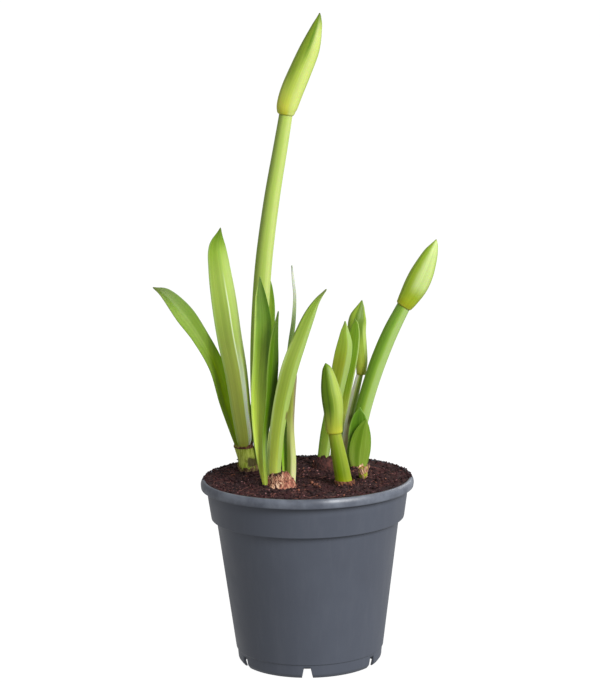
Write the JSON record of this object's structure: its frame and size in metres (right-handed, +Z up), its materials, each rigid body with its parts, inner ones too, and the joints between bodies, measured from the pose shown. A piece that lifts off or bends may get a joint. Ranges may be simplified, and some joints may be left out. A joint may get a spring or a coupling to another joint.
{
  "type": "potted multiflora amaryllis",
  "caption": "Round tapered nursery pot filled with peat, with bulbs that carry strap leaves and flower stems ending in closed buds.",
  "frame": {"origin": "centre of the pot's flat underside, on the surface that the pot stands on", "axes": "+Z up along the pot, +X to the right and -Y towards the front of the plant"},
  "size_m": [0.2022, 0.15, 0.4526],
  "materials": {
    "pot_plastic": "slate grey injection-moulded plastic, satin",
    "peat": "damp dark red-brown peat with bark fibres",
    "bulb_tunic": "dry papery brown bulb scales",
    "leaf_mid_green": "fresh strap leaf, waxy satin",
    "leaf_light_green": "yellow-green strap leaf, waxy satin",
    "leaf_dark_green": "dark green leaf, waxy satin",
    "leaf_pale_sheath": "pale outer sheath leaf",
    "scape_green": "light green hollow flower stem",
    "bud_green": "green closed bud sheath",
    "dry_stub": "old shoot, dry and papery at its mouth"
  },
  "bodies": {
    "root": {"pot": "pot_plastic", "substrate": "peat", "bulb_back_left": "bulb_tunic", "bulb_front_left": "bulb_tunic", "bulb_right": "bulb_tunic", "leaf_left_arched": "leaf_mid_green", "leaf_left_upright": "leaf_light_green", "leaf_left_rear": "leaf_mid_green", "leaf_front_broad": "leaf_mid_green", "leaf_front_dark": "leaf_dark_green", "leaf_front_curved": "leaf_light_green", "leaf_front_edgewise": "leaf_light_green", "leaf_front_sheath": "leaf_pale_sheath", "leaf_right_tall": "leaf_mid_green", "leaf_right_tall_rear": "leaf_mid_green", "leaf_right_short": "leaf_dark_green", "leaf_right_short_rear": "leaf_dark_green", "scape_tall": "scape_green", "scape_leaning": "scape_green", "scape_short": "scape_green", "scape_rear": "scape_green", "bud_tall": "bud_green", "bud_leaning": "bud_green", "bud_short": "bud_green", "bud_rear": "bud_green", "stub_right": "dry_stub"}
  },
  "joints": []
}
